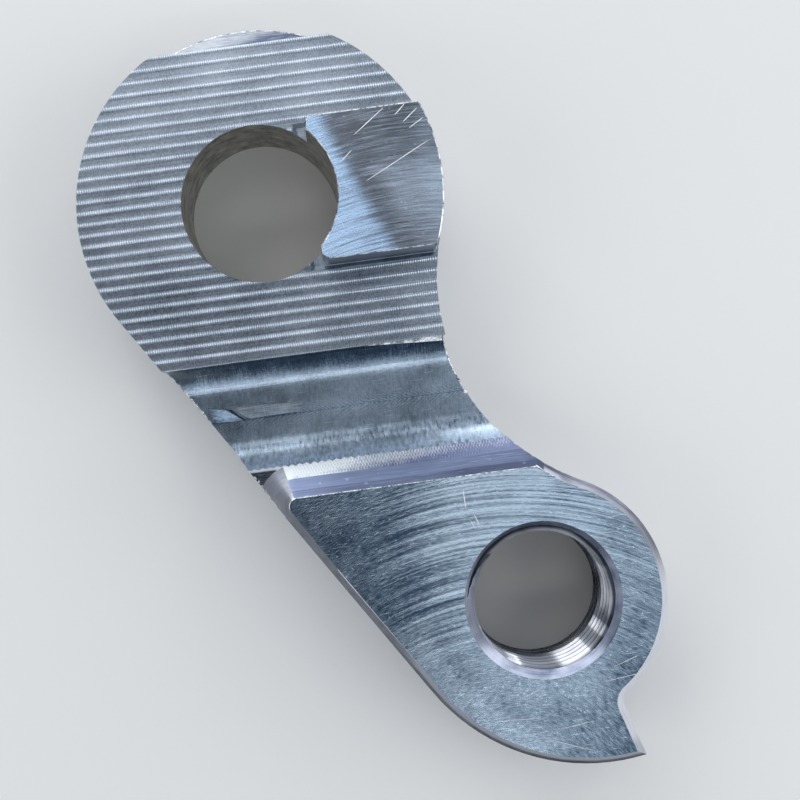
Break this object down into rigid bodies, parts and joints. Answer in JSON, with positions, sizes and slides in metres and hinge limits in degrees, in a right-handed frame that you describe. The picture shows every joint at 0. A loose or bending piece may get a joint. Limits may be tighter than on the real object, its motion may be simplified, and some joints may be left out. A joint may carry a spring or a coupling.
{
  "type": "bicycle derailleur hanger",
  "caption": "Milled aluminium derailleur hanger: a round head with an axle bore and slot key, a grooved neck, and a flange with a tapped hole and a stop nose.",
  "frame": {"origin": "on the flat back face, at the centre of the axle bore", "axes": "+Z out of the back towards the dropout side, +X along the dropout slot key, the tapped hole lies towards -Y and +X"},
  "size_m": [0.0353, 0.0516, 0.0117],
  "materials": {
    "milled_aluminium": "bare milled, with cutter marks"
  },
  "bodies": {
    "root": {"derailleur_hanger": "milled_aluminium"}
  },
  "joints": []
}
